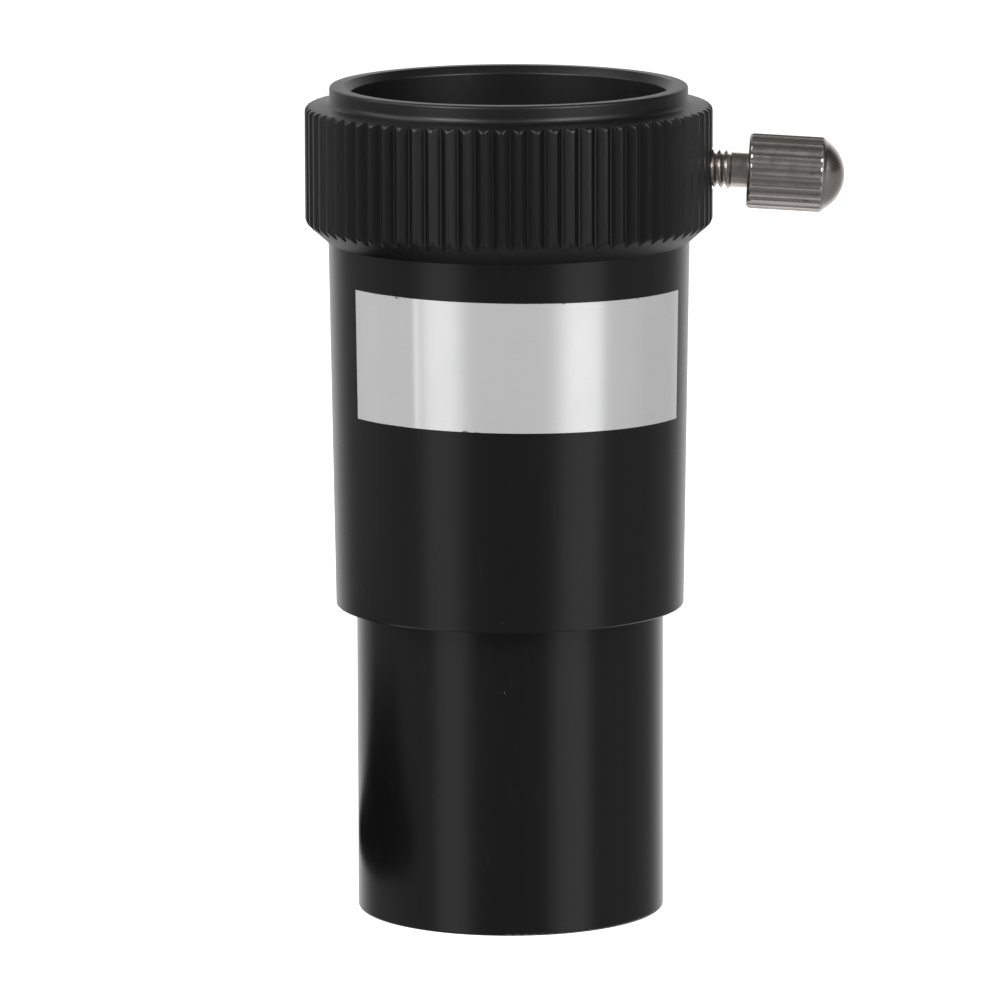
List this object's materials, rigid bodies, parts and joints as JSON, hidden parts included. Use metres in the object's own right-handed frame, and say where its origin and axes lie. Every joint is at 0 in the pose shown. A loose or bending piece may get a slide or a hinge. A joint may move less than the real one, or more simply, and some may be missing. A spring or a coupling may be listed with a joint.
{
  "type": "barlow lens",
  "caption": "Tubular telescope barlow: slim barrel with a negative doublet, tapered body tube, fluted collar with an eyepiece socket, and a side thumbscrew that clamps the eyepiece.",
  "frame": {"origin": "centre of the nosepiece's foot, on the optical axis", "axes": "+Z along the optical axis from the foot to the eyepiece socket; +X towards the thumbscrew; the foil label faces -Y"},
  "size_m": [0.0553, 0.0418, 0.0857],
  "materials": {
    "black_plastic": "satin black moulding",
    "nickel_plate": "nickel plated steel, satin",
    "nylon": "natural nylon",
    "brass": "turned",
    "lens_glass": "polished, coated",
    "matte_black": "matte black",
    "foil": "brushed silver foil"
  },
  "bodies": {
    "housing": {"nosepiece_barrel": "black_plastic", "body_tube": "black_plastic", "eyepiece_collar": "black_plastic", "thread_bush": "brass", "crown_lens": "lens_glass", "flint_lens": "lens_glass", "lens_cell": "matte_black", "retaining_ring": "matte_black", "baffle_ring": "matte_black", "label_foil": "foil"},
    "screw_tip": {"thumbscrew_tip": "nylon"},
    "screw": {"thumbscrew": "nickel_plate"}
  },
  "joints": [
    {"name": "thumbscrew_travel", "type": "slide", "parent": "housing", "child": "screw_tip", "axis": [-0.9983, 0, 0.0576], "range_m": [-0.002, 0.0033]},
    {"name": "thumbscrew_turn", "type": "hinge", "parent": "screw_tip", "child": "screw", "pos_m": [0.0209, 0, 0.07713], "axis": [-0.9983, 0, 0.0576], "range_deg": [-1029, 1698]}
  ],
  "couplings": [
    {"joint": "thumbscrew_turn", "follows": "thumbscrew_travel", "rad_per_m": 8976}
  ]
}
